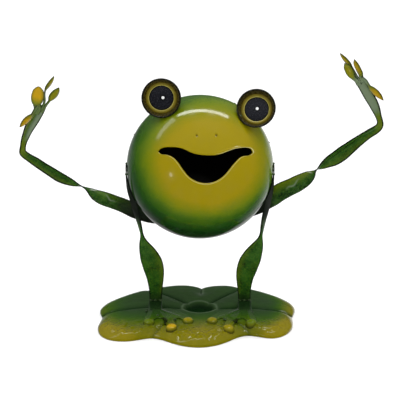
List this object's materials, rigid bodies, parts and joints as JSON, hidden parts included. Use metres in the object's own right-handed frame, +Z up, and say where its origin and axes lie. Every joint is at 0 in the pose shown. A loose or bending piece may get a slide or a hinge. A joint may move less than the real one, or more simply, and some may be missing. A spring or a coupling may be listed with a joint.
{
  "type": "metal frog ornament on lily pad",
  "caption": "Painted sheet-metal frog ornament with a hollow ball body, open grinning mouth, bulging cup eyes and raised arms, standing on a lily pad base.",
  "frame": {"origin": "on the floor, straight below the middle of the ball body", "axes": "+X to the onlooker's right when facing the frog, +Y towards the frog's back, +Z up"},
  "size_m": [0.3086, 0.1382, 0.2311],
  "materials": {
    "ball_paint": "gloss airbrushed",
    "limb_paint": "gloss airbrushed",
    "pad_paint": "satin airbrushed",
    "eye_bowl_paint": "gloss",
    "eye_ring_paint": "gloss",
    "pupil_paint": "gloss",
    "weld": "gloss painted over"
  },
  "bodies": {
    "root": {"face_dome": "ball_paint", "back_dome": "ball_paint", "left_eye_cup": "eye_bowl_paint", "right_eye_cup": "eye_bowl_paint", "left_eye_dish": "eye_ring_paint", "right_eye_dish": "eye_ring_paint", "left_pupil": "pupil_paint", "right_pupil": "pupil_paint", "left_arm": "limb_paint", "right_arm": "limb_paint", "left_leg": "limb_paint", "right_leg": "limb_paint", "left_foot": "limb_paint", "right_foot": "limb_paint", "lily_pad": "pad_paint", "seam_tacks": "weld", "eye_tacks": "weld", "shoulder_tacks": "weld", "hip_tacks": "weld", "ankle_tacks": "weld", "toe_tacks": "weld"}
  },
  "joints": []
}
